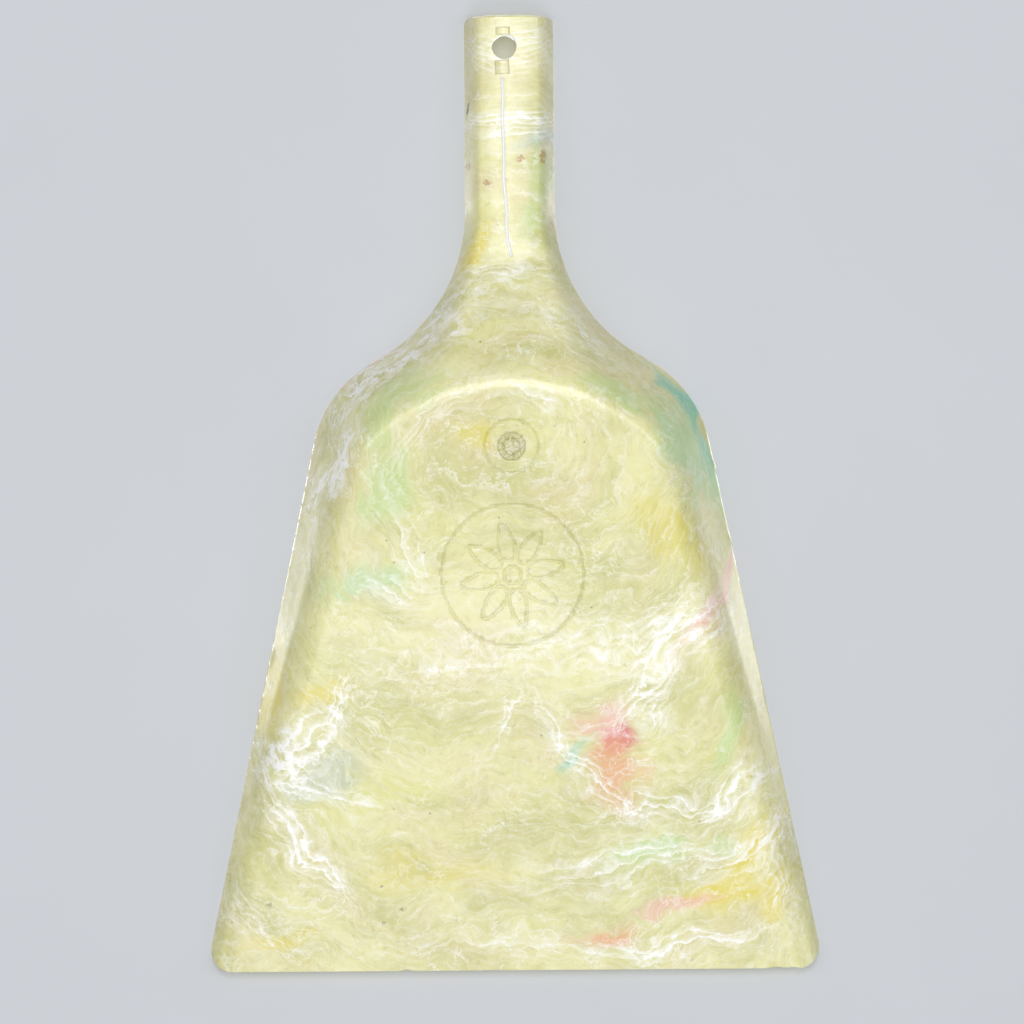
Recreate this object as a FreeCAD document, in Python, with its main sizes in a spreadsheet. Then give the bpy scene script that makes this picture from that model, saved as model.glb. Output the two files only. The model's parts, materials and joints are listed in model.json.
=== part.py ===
import FreeCAD, Part
import Sketcher
import math
import os

# One-piece moulded dustpan. Millimetres; +Z up, mouth towards -Y, handle towards +Y.
# The floor's underside lies on Z = 0 and the origin is under the middle of the length.
# Two bodies are built the same way, the outer skin and the core that hollows it, and
# the pan is the first less the second, the way the two halves of its mould meet.

doc = FreeCAD.newDocument("dustpan")

# ---------------------------------------------------------------- driving sizes
SIZES = [
    ("wall", 2.0, "thickness of the floor"),
    ("rim_inset", 2.2, "width of the rim, seen from above"),
    ("mouth_y", -179.75, "where the mouth is on the Y axis"),
    ("mouth_rise", 7.0, "height of the rim at the mouth"),
    ("rim_pitch", 7.4, "slope of the rim, degrees"),
    ("mouth_half", 116.8, "half width of the rim at the mouth"),
    ("rim_side_angle", 11.92, "how fast the rim narrows, degrees"),
    ("shoulder_radius", 46.0, "rounded shoulder of the rim"),
    ("neck_radius", 65.0, "hollow curve from shoulder to handle"),
    ("neck_along", 287.0, "mouth to the start of the straight handle, along the rim"),
    ("handle_half", 16.85, "half width of the handle"),
    ("floor_mouth_half", 113.4, "half width of the floor at the mouth"),
    ("floor_side_angle", 16.0, "how fast the floor narrows, degrees"),
    ("floor_length", 224.5, "mouth to the top of the floor's arch"),
    ("arch_flat_half", 4.0, "half width of the flat at the top of the arch"),
    ("arch_split_half", 32.5, "where the arch turns from shoulder to neck"),
    ("core_side_inset", 1.3, "core floor inside the skin floor, at the sides"),
    ("core_arch_inset", 0.6, "core floor inside the skin floor, at the arch"),
    ("overrun", 6.0, "how far the core runs out of the mouth"),
    ("handle_end", 361.0, "mouth to the tip of the handle, along the rim"),
    ("handle_depth", 14.0, "rim to crown of the handle"),
    ("handle_draft", 18.0, "lean of the handle's sides, degrees"),
    ("crown_radius", 6.0, "handle side to crown, outside"),
    ("crown_bow_radius", 60.0, "gentle bow of the crown, outside"),
    ("root_along", 273.8, "mouth to where the handle starts to bend, along the rim"),
    ("root_radius", 54.0, "bend of the handle's root, at the rim"),
    ("root_angle", 36.0, "how far the root bends down, degrees"),
    ("end_wall", 2.4, "thickness of the handle's end"),
    ("bend_radius", 10.0, "floor to wall, outside"),
    ("end_radius", 2.5, "corners of the handle's end"),
    ("corner_radius", 7.6, "corners of the mouth"),
    ("lip_edge", 1.0, "thickness of the lip at the very edge"),
    ("lip_length", 9.0, "length of the thinned lip"),
    ("lip_half", 98.0, "half width of the thinned lip"),
    ("hole_radius", 4.6, "hanging hole"),
    ("hole_along", 347.0, "mouth to the hanging hole, along the rim"),
    ("hole_side", 1.6, "hanging hole to the handle's middle"),
    ("gate_along", 196.5, "mouth to the gate mark"),
    ("gate_radius", 10.4, "gate mark"),
    ("badge_along", 148.5, "mouth to the round insert mark"),
    ("badge_radius", 27.0, "round insert mark"),
    ("mark_width", 0.8, "width of both ring marks"),
    ("mark_depth", 0.3, "depth of both ring marks"),
]

sheet = doc.addObject("Spreadsheet::Sheet", "dims")
size = {}
for row, (alias, value, note) in enumerate(SIZES, start=1):
    sheet.set(f"A{row}", alias)
    sheet.set(f"B{row}", str(value))
    sheet.set(f"C{row}", note)
    sheet.setAlias(f"B{row}", alias)
    size[alias] = value
doc.recompute()

LINE = Part.LineSegment
START, END, CENTRE = 1, 2, 3
H_AXIS = -1
V_AXIS = -2
THROUGH = 200.0


def vec(x, y, z=0.0):
    return FreeCAD.Vector(x, y, z)


def origin_plane(body, role):
    """One of the body's own origin planes."""
    return next(f for f in body.Origin.OriginFeatures if f.Role == role)


def new_sketch(body, name, role, offsets, axis=(1, 0, 0)):
    """A sketch on an origin plane, moved and turned by sheet expressions."""
    sketch = body.newObject("Sketcher::SketchObject", name)
    sketch.AttachmentSupport = [(origin_plane(body, role), "")]
    sketch.MapMode = "FlatFace"
    turn = size["rim_pitch"] if "Rotation.Angle" in offsets else 0.0
    rotation = FreeCAD.Rotation(vec(*axis), turn)
    sketch.AttachmentOffset = FreeCAD.Placement(vec(0, 0, 0), rotation)
    for path, expression in offsets.items():
        sketch.setExpression("AttachmentOffset." + path, expression)
    return sketch


def on_rim(body, name):
    """A sketch lying in the rim plane, its origin at the middle of the mouth."""
    return new_sketch(body, name, "XY_Plane", {
        "Base.y": "dims.mouth_y",
        "Base.z": "dims.mouth_rise",
        "Rotation.Angle": "dims.rim_pitch",
    })


def on_floor(body, name, height):
    """A level sketch, its origin at the middle of the mouth."""
    return new_sketch(body, name, "XY_Plane", {"Base.y": "dims.mouth_y", "Base.z": height})


def bind(sketch, name, kind, refs, value, expression):
    """Adds a named dimension at its present value and ties it to the sheet."""
    index = sketch.addConstraint(Sketcher.Constraint(kind, *refs, value))
    sketch.renameConstraint(index, name)
    sketch.setExpression("Constraints." + name, expression)


# ---------------------------------------------------------------- plan outlines
def arc(centre, first, last):
    """The arc about a centre that runs anticlockwise from one point to another."""
    radius = (first - centre).Length
    a = math.atan2(first.y - centre.y, first.x - centre.x)
    b = math.atan2(last.y - centre.y, last.x - centre.x)
    if b <= a:
        b += 2 * math.pi
    return Part.ArcOfCircle(Part.Circle(centre, vec(0, 0, 1), radius), a, b)


def draw_outline(sketch, p, hollow_neck):
    """Draws both halves of a closed outline, joins them and mirrors left on right.

    p holds the right half: the points mouth, tangent, split and top and the two centres.
    Returns the ends of every piece, as {(piece, side, point): (geometry, end)}.
    """
    left = {key: vec(-point.x, point.y) for key, point in p.items()}
    ends = {}

    def add(piece, side, geometry, first, last):
        index = sketch.addGeometry(geometry, False)
        ends[piece, side, first] = (index, START)
        ends[piece, side, last] = (index, END)
        ends[piece, side, "centre"] = (index, CENTRE)

    def join(kind, one, other, *axis):
        sketch.addConstraint(Sketcher.Constraint(kind, *ends[one], *ends[other], *axis))

    neck_right = ("top", "split") if hollow_neck else ("split", "top")
    neck_left = neck_right[::-1]
    add("front", 0, LINE(left["mouth"], p["mouth"]), "left", "right")
    add("side", 1, LINE(p["mouth"], p["tangent"]), "mouth", "tangent")
    add("shoulder", 1, arc(p["shoulder"], p["tangent"], p["split"]), "tangent", "split")
    add("neck", 1, arc(p["neck"], *(p[key] for key in neck_right)), *neck_right)
    add("flat", 0, LINE(p["top"], left["top"]), "right", "left")
    add("neck", -1, arc(left["neck"], *(left[key] for key in neck_left)), *neck_left)
    add("shoulder", -1, arc(left["shoulder"], left["split"], left["tangent"]), "split", "tangent")
    add("side", -1, LINE(left["tangent"], left["mouth"]), "tangent", "mouth")

    for side, end in ((1, "right"), (-1, "left")):
        join("Coincident", ("front", 0, end), ("side", side, "mouth"))
        join("Tangent", ("side", side, "tangent"), ("shoulder", side, "tangent"))
        join("Coincident", ("neck", side, "top"), ("flat", 0, end))
    join("Tangent", ("shoulder", 1, "split"), ("neck", 1, "split"))
    join("Coincident", ("shoulder", -1, "split"), ("neck", -1, "split"))
    for piece, point in (("side", "mouth"), ("shoulder", "split"), ("neck", "top"),
                         ("shoulder", "centre")):
        join("Symmetric", (piece, 1, point), (piece, -1, point), V_AXIS)
    necks = [ends["neck", side, "centre"][0] for side in (1, -1)]
    sketch.addConstraint(Sketcher.Constraint("Equal", *necks))
    return ends


def place(sketch, name, ref, axis, value, expression):
    """Holds a point at a distance from the sketch's origin, along X or Y."""
    bind(sketch, name, "Distance" + axis, (-1, 1, *ref), value, expression)


def lean(sketch, name, ends, angle):
    """Holds the right side line at its angle to the length of the pan."""
    side = ends["side", 1, "mouth"][0]
    bind(sketch, name, "Angle", (V_AXIS, START, side, START), math.radians(size[angle]),
         "dims." + angle)


def draw_rim(body, name, inset, front, handle):
    """The rim's outline less an inset, closed across the root of the handle.

    inset, front and handle are each (value, expression).
    """
    angle = math.radians(size["rim_side_angle"])
    slope = math.tan(angle)
    half = size["mouth_half"] - inset[0] / math.cos(angle) + front[0] * slope
    shoulder = size["shoulder_radius"] - inset[0]
    neck = size["neck_radius"] + inset[0]
    top = vec(handle[0], size["neck_along"])
    neck_centre = top + vec(neck, 0)

    def centre_at(along):
        return vec(half - slope * (along + front[0]) - shoulder / math.cos(angle), along)

    low, high = 100.0, size["neck_along"] - 1.0
    for _ in range(60):
        middle = (low + high) / 2
        if (centre_at(middle) - neck_centre).Length > neck + shoulder:
            low = middle
        else:
            high = middle
    centre = centre_at(low)

    sketch = on_rim(body, name)
    ends = draw_outline(sketch, {
        "mouth": vec(half, -front[0]),
        "tangent": centre + vec(math.cos(angle), math.sin(angle)) * shoulder,
        "split": centre + (neck_centre - centre) * (shoulder / (shoulder + neck)),
        "top": top,
        "shoulder": centre,
        "neck": neck_centre,
    }, True)
    mouth_end = ends["side", 1, "mouth"]
    top_end = ends["neck", 1, "top"]
    neck_arc = ends["neck", 1, "centre"]
    shoulder_arc = ends["shoulder", 1, "centre"]
    sketch.addConstraint(Sketcher.Constraint("Horizontal", *top_end, *neck_arc))
    place(sketch, "half", mouth_end, "X", half,
          f"dims.mouth_half - {inset[1]} / cos(dims.rim_side_angle)"
          f" + {front[1]} * tan(dims.rim_side_angle)")
    place(sketch, "front", mouth_end, "Y", -front[0], "-1 * " + front[1])
    place(sketch, "handle", top_end, "X", handle[0], handle[1])
    place(sketch, "neck_along", top_end, "Y", size["neck_along"], "dims.neck_along")
    lean(sketch, "lean", ends, "rim_side_angle")
    bind(sketch, "shoulder", "Radius", shoulder_arc[:1], shoulder,
         f"dims.shoulder_radius - {inset[1]}")
    bind(sketch, "neck", "Radius", neck_arc[:1], neck, f"dims.neck_radius + {inset[1]}")
    return sketch


def draw_floor(body, name, height, side_inset, arch_inset, front):
    """The floor's outline less its insets: two leaning sides under one round arch."""
    angle = math.radians(size["floor_side_angle"])
    slope = math.tan(angle)
    half = size["floor_mouth_half"] - side_inset[0] / math.cos(angle) + front[0] * slope
    flat = size["arch_flat_half"]
    top = size["floor_length"] - arch_inset[0]
    along = (top - (half - front[0] * slope - flat) * math.cos(angle)) / (1 - math.sin(angle))
    centre = vec(flat, along)
    radius = top - along
    rise = math.sqrt(radius ** 2 - (size["arch_split_half"] - flat) ** 2)

    sketch = on_floor(body, name, height)
    ends = draw_outline(sketch, {
        "mouth": vec(half, -front[0]),
        "tangent": centre + vec(math.cos(angle), math.sin(angle)) * radius,
        "split": vec(size["arch_split_half"], along + rise),
        "top": vec(flat, top),
        "shoulder": centre,
        "neck": centre,
    }, False)
    mouth_end = ends["side", 1, "mouth"]
    top_end = ends["neck", 1, "top"]
    arches = [ends[piece, 1, "centre"] for piece in ("shoulder", "neck")]
    sketch.addConstraint(Sketcher.Constraint("Vertical", *top_end, *arches[1]))
    sketch.addConstraint(Sketcher.Constraint("Equal", arches[0][0], arches[1][0]))
    place(sketch, "half", mouth_end, "X", half,
          f"dims.floor_mouth_half - {side_inset[1]} / cos(dims.floor_side_angle)"
          f" + {front[1]} * tan(dims.floor_side_angle)")
    place(sketch, "front", mouth_end, "Y", -front[0], "-1 * " + front[1])
    place(sketch, "flat", top_end, "X", flat, "dims.arch_flat_half")
    place(sketch, "top", top_end, "Y", top, f"dims.floor_length - {arch_inset[1]}")
    place(sketch, "split", ends["neck", 1, "split"], "X", size["arch_split_half"],
          "dims.arch_split_half")
    lean(sketch, "lean", ends, "floor_side_angle")
    return sketch


def draw_handle(body, name, wall, along):
    """Cross-section of the handle, square to the rim: flat side up, crown down.

    wall and along are each (value, expression).
    """
    draft = math.radians(size["handle_draft"])
    half = size["handle_half"] - wall[0] / math.cos(draft)
    corner = size["crown_radius"] - wall[0]
    bow = size["crown_bow_radius"] - wall[0]
    bow_centre = vec(0, size["crown_bow_radius"] - size["handle_depth"])
    down = corner - size["handle_depth"]
    for _ in range(60):
        middle = vec(half - (corner - down * math.sin(draft)) / math.cos(draft), down)
        down += (middle - bow_centre).Length - (bow - corner)
    side_end = middle + vec(math.cos(draft), -math.sin(draft)) * corner
    crown_end = bow_centre + (middle - bow_centre) * (bow / (bow - corner))
    left_middle, left_side_end, left_crown_end = (
        vec(-point.x, point.y) for point in (middle, side_end, crown_end))

    sketch = new_sketch(body, name, "XZ_Plane", {
        "Base.y": f"dims.mouth_rise + ({along[1]}) * sin(dims.rim_pitch)",
        "Base.z": f"-1 * (dims.mouth_y + ({along[1]}) * cos(dims.rim_pitch))",
        "Rotation.Angle": "dims.rim_pitch",
    })
    sketch.addGeometry(LINE(vec(-half, 0), vec(half, 0)), False)
    sketch.addGeometry(LINE(vec(half, 0), side_end), False)
    sketch.addGeometry(arc(middle, crown_end, side_end), False)
    sketch.addGeometry(arc(bow_centre, left_crown_end, crown_end), False)
    sketch.addGeometry(arc(left_middle, left_side_end, left_crown_end), False)
    sketch.addGeometry(LINE(left_side_end, vec(-half, 0)), False)
    rules = [
        ("Coincident", 0, END, 1, START),
        ("Tangent", 1, END, 2, END),
        ("Tangent", 2, START, 3, END),
        ("Tangent", 3, START, 4, END),
        ("Tangent", 4, START, 5, START),
        ("Coincident", 5, END, 0, START),
        ("Symmetric", 0, START, 0, END, V_AXIS),
        ("Symmetric", 2, CENTRE, 4, CENTRE, V_AXIS),
        ("Equal", 2, 4),
        ("PointOnObject", 0, START, H_AXIS),
    ]
    for rule in rules:
        sketch.addConstraint(Sketcher.Constraint(*rule))
    place(sketch, "half", (0, END), "X", half,
          f"dims.handle_half - {wall[1]} / cos(dims.handle_draft)")
    place(sketch, "bow_centre", (3, CENTRE), "Y", bow_centre.y,
          "dims.crown_bow_radius - dims.handle_depth")
    bind(sketch, "draft", "Angle", (1, END, V_AXIS, START), draft, "dims.handle_draft")
    bind(sketch, "corner", "Radius", (2,), corner, f"dims.crown_radius - {wall[1]}")
    bind(sketch, "bow", "Radius", (3,), bow, f"dims.crown_bow_radius - {wall[1]}")
    return sketch


def draw_path(body, name, along):
    """Side view of the handle's line: straight along the rim, then bending down."""
    sketch = new_sketch(body, name, "YZ_Plane", {
        "Base.x": "dims.mouth_y",
        "Base.y": "dims.mouth_rise",
        "Rotation.Angle": "dims.rim_pitch",
    }, axis=(0, 0, 1))
    angle = math.radians(size["root_angle"])
    bend = size["root_radius"]
    start = vec(along[0], 0)
    turn = vec(size["root_along"], 0)
    centre = turn - vec(0, bend)
    low = centre + vec(-math.sin(angle), math.cos(angle)) * bend
    sketch.addGeometry(LINE(start, turn), False)
    sketch.addGeometry(arc(centre, turn, low), False)
    sketch.addConstraint(Sketcher.Constraint("Tangent", 0, END, 1, START))
    sketch.addConstraint(Sketcher.Constraint("PointOnObject", 0, START, H_AXIS))
    sketch.addConstraint(Sketcher.Constraint("PointOnObject", 0, END, H_AXIS))
    place(sketch, "tip", (0, START), "X", along[0], along[1])
    place(sketch, "root", (0, END), "X", turn.x, "dims.root_along")
    bind(sketch, "bend", "Radius", (1,), bend, "dims.root_radius")
    place(sketch, "low", (1, END), "X", low.x,
          "dims.root_along - dims.root_radius * sin(dims.root_angle)")
    return sketch


# ---------------------------------------------------------------- building steps
def fillet(body, name, test, radius):
    """Rounds the edges of the body's present shape that pass a test."""
    before = body.Tip
    edges = [f"Edge{n}" for n, edge in enumerate(before.Shape.Edges, start=1)
             if test(edge, edge.CenterOfMass)]
    if not edges:
        raise ValueError("no edge found for " + name)
    feature = body.newObject("PartDesign::Fillet", name)
    feature.Base = (before, edges)
    feature.setExpression("Radius", radius)
    doc.recompute()
    return feature


def cut(body, name, sketch, depth=None):
    """Cuts a sketch right through, or upwards to a depth; the volume must fall."""
    before = body.Shape.Volume
    feature = body.newObject("PartDesign::Pocket", name)
    feature.Profile = sketch
    if depth is None:
        feature.Midplane = True
        feature.Length = THROUGH
    else:
        feature.Reversed = True
        feature.setExpression("Length", depth)
    doc.recompute()
    if body.Shape.Volume > before - 0.1:
        raise ValueError(name + " removed nothing")
    return feature


def mould(name, height, rim_inset, side_inset, arch_inset, front, wall, end):
    """Bowl and handle as one solid: the bowl ruled from floor to rim, the handle piped.

    Every argument after the height is (value, expression).
    """
    draft = math.radians(size["handle_draft"])
    handle = (size["handle_half"] - wall[0] / math.cos(draft),
              f"dims.handle_half - {wall[1]} / cos(dims.handle_draft)")
    tip = (size["handle_end"] - end[0], f"dims.handle_end - {end[1]}")
    body = doc.addObject("PartDesign::Body", name)
    floor = draw_floor(body, name + "_floor", height, side_inset, arch_inset, front)
    rim = draw_rim(body, name + "_rim", rim_inset, front, handle)
    bowl = body.newObject("PartDesign::AdditiveLoft", name + "_bowl")
    bowl.Profile = floor
    bowl.Sections = [rim]
    bowl.Ruled = True
    section = draw_handle(body, name + "_section", wall, tip)
    path = draw_path(body, name + "_path", tip)
    grip = body.newObject("PartDesign::AdditivePipe", name + "_handle")
    grip.Profile = section
    grip.Spine = (path, ["Edge1", "Edge2"])
    doc.recompute()

    bottom = wall[0]
    front_y = size["mouth_y"] - front[0] + 0.5

    def at_floor(edge, c):
        return all(abs(v.Z - bottom) < 0.01 for v in edge.Vertexes) and c.y > front_y

    fillet(body, name + "_bend", at_floor, f"dims.bend_radius - {wall[1]}")
    return body


def closed(sketch, points, rules):
    """Draws a closed chain of straight lines and holds it level or upright by rules."""
    first = sketch.GeometryCount
    last = first + len(points) - 1
    for start, end in zip(points, points[1:] + points[:1]):
        sketch.addGeometry(LINE(start, end), False)
    for index in range(first, last):
        sketch.addConstraint(Sketcher.Constraint("Coincident", index, END, index + 1, START))
    sketch.addConstraint(Sketcher.Constraint("Coincident", last, END, first, START))
    for index, rule in enumerate(rules):
        if rule:
            sketch.addConstraint(Sketcher.Constraint(rule, first + index))
    return first


# ---------------------------------------------------------------- the skin
none = (0.0, "0")
skin = mould("skin", "0", none, none, none, none, none, none)

# the mouth's two corners are rounded in plan
trim = on_rim(skin, "skin_trim")
lean_angle = math.radians(size["rim_side_angle"])
corner = size["corner_radius"]
corner_x = size["mouth_half"] - corner * (1 / math.cos(lean_angle) + math.tan(lean_angle))
outside = size["mouth_half"] + corner
corner_y = corner * (1 + math.sin(lean_angle))
for sign, tag in ((1, "right"), (-1, "left")):
    middle = vec(sign * corner_x, corner)
    low = vec(sign * corner_x, 0)
    high = vec(sign * (corner_x + corner * math.cos(lean_angle)), corner_y)
    ends = (low, high) if sign > 0 else (high, low)
    low_end = START if sign > 0 else END
    high_end = END if sign > 0 else START
    index = trim.addGeometry(arc(middle, *ends), False)
    out_low = vec(low.x, -corner)
    out_far = vec(sign * outside, -corner)
    out_high = vec(sign * outside, high.y)
    trim.addGeometry(LINE(low, out_low), False)
    trim.addGeometry(LINE(out_low, out_far), False)
    trim.addGeometry(LINE(out_far, out_high), False)
    trim.addGeometry(LINE(out_high, high), False)
    rules = [
        ("Coincident", index, low_end, index + 1, START),
        ("Coincident", index + 1, END, index + 2, START),
        ("Coincident", index + 2, END, index + 3, START),
        ("Coincident", index + 3, END, index + 4, START),
        ("Coincident", index + 4, END, index, high_end),
        ("Vertical", index + 1),
        ("Horizontal", index + 2),
        ("Vertical", index + 3),
        ("Horizontal", index + 4),
    ]
    for rule in rules:
        trim.addConstraint(Sketcher.Constraint(*rule))
    flip = "" if sign > 0 else "-1 * "
    bind(trim, tag + "_radius", "Radius", (index,), corner, "dims.corner_radius")
    place(trim, tag + "_middle_x", (index, CENTRE), "X", middle.x,
          flip + "(dims.mouth_half - dims.corner_radius"
          " * (1 / cos(dims.rim_side_angle) + tan(dims.rim_side_angle)))")
    place(trim, tag + "_middle_y", (index, CENTRE), "Y", corner, "dims.corner_radius")
    place(trim, tag + "_low", (index, low_end), "X", low.x,
          flip + "(dims.mouth_half - dims.corner_radius"
          " * (1 / cos(dims.rim_side_angle) + tan(dims.rim_side_angle)))")
    place(trim, tag + "_high", (index, high_end), "Y", high.y,
          "dims.corner_radius * (1 + sin(dims.rim_side_angle))")
    place(trim, tag + "_below", (index + 1, END), "Y", -corner, "-1 * dims.corner_radius")
    place(trim, tag + "_beyond", (index + 2, END), "X", sign * outside,
          flip + "(dims.mouth_half + dims.corner_radius)")
cut(skin, "skin_corners", trim)


def at_tip(edge, c):
    """The handle's end face, all but its edge in the rim."""
    tilt = math.radians(size["rim_pitch"])
    along = (c.y - size["mouth_y"]) * math.cos(tilt) + (c.z - size["mouth_rise"]) * math.sin(tilt)
    below = (c.y - size["mouth_y"]) * math.sin(tilt) - (c.z - size["mouth_rise"]) * math.cos(tilt)
    return abs(along - size["handle_end"]) < 0.01 and below > 1.0


fillet(skin, "skin_tip", at_tip, "dims.end_radius")

# the hanging hole, square to the rim
hole = on_rim(skin, "skin_hole_ring")
hole.addGeometry(Part.Circle(vec(size["hole_side"], size["hole_along"]), vec(0, 0, 1),
                             size["hole_radius"]), False)
place(hole, "side", (0, CENTRE), "X", size["hole_side"], "dims.hole_side")
place(hole, "along", (0, CENTRE), "Y", size["hole_along"], "dims.hole_along")
bind(hole, "radius", "Radius", (0,), size["hole_radius"], "dims.hole_radius")
cut(skin, "skin_hole", hole)

# shallow ring marks under the floor: the gate, its scar, and a round insert
marks = on_floor(skin, "skin_rings", "0")
RINGS = [
    ("gate", "gate", "dims.gate_radius"),
    ("gate_inner", "gate", "dims.gate_radius - dims.mark_width"),
    ("scar", "gate", "dims.gate_radius / 2"),
    ("badge", "badge", "dims.badge_radius"),
    ("badge_inner", "badge", "dims.badge_radius - dims.mark_width"),
]
for index, (name, at, radius) in enumerate(RINGS):
    along = size[at + "_along"]
    value = size[at + "_radius"]
    if name.endswith("inner"):
        value -= size["mark_width"]
    if name == "scar":
        value /= 2
    marks.addGeometry(Part.Circle(vec(0, along), vec(0, 0, 1), value), False)
    marks.addConstraint(Sketcher.Constraint("PointOnObject", index, CENTRE, V_AXIS))
    place(marks, name + "_along", (index, CENTRE), "Y", along, f"dims.{at}_along")
    bind(marks, name, "Radius", (index,), value, radius)
cut(skin, "skin_marks", marks, "dims.mark_depth")

# ---------------------------------------------------------------- the core
core = mould("core", "dims.wall", (size["rim_inset"], "dims.rim_inset"),
             (size["core_side_inset"], "dims.core_side_inset"),
             (size["core_arch_inset"], "dims.core_arch_inset"),
             (size["overrun"], "dims.overrun"), (size["wall"], "dims.wall"),
             (size["end_wall"], "dims.end_wall"))

# a wedge on the core thins the floor towards the mouth's edge
wedge = new_sketch(core, "core_wedge", "YZ_Plane", {"Base.x": "dims.mouth_y"})
wall = size["wall"]
closed(wedge, [
    vec(0, size["lip_edge"]),
    vec(size["lip_length"], wall),
    vec(size["lip_length"], 2 * wall),
    vec(-wall, 2 * wall),
    vec(-wall, size["lip_edge"]),
], [None, "Vertical", "Horizontal", "Vertical", "Horizontal"])
place(wedge, "edge", (0, START), "Y", size["lip_edge"], "dims.lip_edge")
wedge.addConstraint(Sketcher.Constraint("PointOnObject", 0, START, V_AXIS))
place(wedge, "length", (0, END), "X", size["lip_length"], "dims.lip_length")
place(wedge, "floor", (0, END), "Y", wall, "dims.wall")
place(wedge, "above", (2, END), "Y", 2 * wall, "2 * dims.wall")
place(wedge, "ahead", (2, END), "X", -wall, "-1 * dims.wall")
lip = core.newObject("PartDesign::Pad", "core_lip")
lip.Profile = wedge
lip.Midplane = True
lip.setExpression("Length", "2 * dims.lip_half")
doc.recompute()


# ---------------------------------------------------------------- the dustpan
dustpan = doc.addObject("Part::Cut", "dustpan")
dustpan.Base = skin
dustpan.Tool = core
doc.recompute()

for item in doc.Objects:
    if "Invalid" in item.State or "Error" in item.State:
        raise ValueError(item.Name + " did not build")
for item in (skin, core, dustpan):
    if item.Shape.isNull() or not item.Shape.isValid() or len(item.Shape.Solids) != 1:
        raise ValueError(item.Name + " is not one sound solid")

os.makedirs("parts", exist_ok=True)
dustpan.Shape.exportStep("parts/dustpan.step")
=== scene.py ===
import json
import math

import bmesh
import bpy
import numpy as np
from mathutils import Matrix, Vector, noise


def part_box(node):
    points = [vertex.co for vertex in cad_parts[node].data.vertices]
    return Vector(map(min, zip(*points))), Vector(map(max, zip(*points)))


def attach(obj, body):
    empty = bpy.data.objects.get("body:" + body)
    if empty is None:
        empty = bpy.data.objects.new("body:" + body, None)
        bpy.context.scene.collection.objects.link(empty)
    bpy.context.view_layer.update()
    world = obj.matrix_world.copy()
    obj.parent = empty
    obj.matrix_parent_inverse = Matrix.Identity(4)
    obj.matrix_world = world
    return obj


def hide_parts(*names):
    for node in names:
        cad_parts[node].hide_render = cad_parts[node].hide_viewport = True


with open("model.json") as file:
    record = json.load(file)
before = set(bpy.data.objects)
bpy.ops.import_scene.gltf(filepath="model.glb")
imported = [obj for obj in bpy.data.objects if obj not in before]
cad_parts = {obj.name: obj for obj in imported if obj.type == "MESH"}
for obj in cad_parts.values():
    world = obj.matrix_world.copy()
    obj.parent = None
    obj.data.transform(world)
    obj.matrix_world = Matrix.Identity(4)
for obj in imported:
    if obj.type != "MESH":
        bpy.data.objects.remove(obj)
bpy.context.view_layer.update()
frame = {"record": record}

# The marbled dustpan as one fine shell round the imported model. Lengths are millimetres in
# the pan's own coordinates and become metres when a mesh is made: x across, s from the
# mouth along the rim, and depth down from the rim's plane.

# ---------------------------------------------------------------- places from the frame
NODE = "dustpan"
MM = 0.001
low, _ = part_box(NODE)
mounts = {mount["name"]: mount for mount in frame["record"]["mounts"]}
hole = mounts["hanging_hole"]
PITCH = math.atan2(hole["axis"][1], -hole["axis"][2])
SIN = math.sin(PITCH)
COS = math.cos(PITCH)
MOUTH_Y = low.y / MM
HOLE_R = hole["dims"]["r_mm"]
HOLE_X = hole["pos_m"][0] / MM

# ---------------------------------------------------------------- the pan's own sizes
RISE = 7.0                        # rim above the floor at the mouth
HOLE_S = (hole["pos_m"][1] / MM - MOUTH_Y) * COS + (hole["pos_m"][2] / MM - RISE) * SIN
MOUTH_HALF = 116.8
SIDE = math.radians(11.92)        # how fast the rim narrows
SHOULDER_R = 46.0
NECK_R = 65.0
NECK_S = 287.0                    # where the straight grip starts
GRIP_HALF = 16.85
NECK_X = GRIP_HALF + NECK_R
TIP_S = 361.0
TIP_ROUND = 5.0                   # length of the handle's rounded end, in plan
CORNER_R = 7.6                    # corners of the mouth
RIM = 2.2                         # width of the rim
END_WALL = RIM + 0.2              # thickness of the handle's end
WALL = 2.0
LIP = 1.0                         # the floor thins to this at the mouth
LIP_LENGTH = 9.0
SIDE_SLOPE = 1.92                 # depth gained per millimetre in from the side
GRIP_SLOPE = 3.08
END_SLOPE = 7.0
FLARE_S = 215.0                   # the pan's section turns into the grip's from here
FLARE_LENGTH = 62.0
PAN_BEND = 11.5                   # how gently the walls run into the floor
GRIP_BEND = 7.0
PAN_BOW = 220.0                   # twice the radius of the ramp's bow across, at the arch
GRIP_BOW = 120.0
ARCH_S = 221.7                    # where the floor ends and the ramp to the handle starts
ARCH_DEPTH = 35.9
ARCH_ROUND = 3.0
RAMP_SLOPE = 0.549
RAMP_ROUND = 7.6
GRIP_DEPTH = 14.0
END_ROUND = 4.0
MOUTH_TURN = 40.0                 # the mouth's face stands upright over this length


def shoulder_centre():
    """Centre of the rim's shoulder: touches the side line and meets the neck smoothly."""
    slope = math.tan(SIDE)
    lead = MOUTH_HALF - SHOULDER_R / math.cos(SIDE) - NECK_X
    reach = SHOULDER_R + NECK_R
    a = 1 + slope ** 2
    b = -2 * (lead * slope + NECK_S)
    c = lead ** 2 + NECK_S ** 2 - reach ** 2
    s = (-b - math.sqrt(b * b - 4 * a * c)) / (2 * a)
    return lead + NECK_X - slope * s, s


SHOULDER_X, SHOULDER_S = shoulder_centre()
SPLIT = math.atan2(NECK_S - SHOULDER_S, NECK_X - SHOULDER_X)


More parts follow.
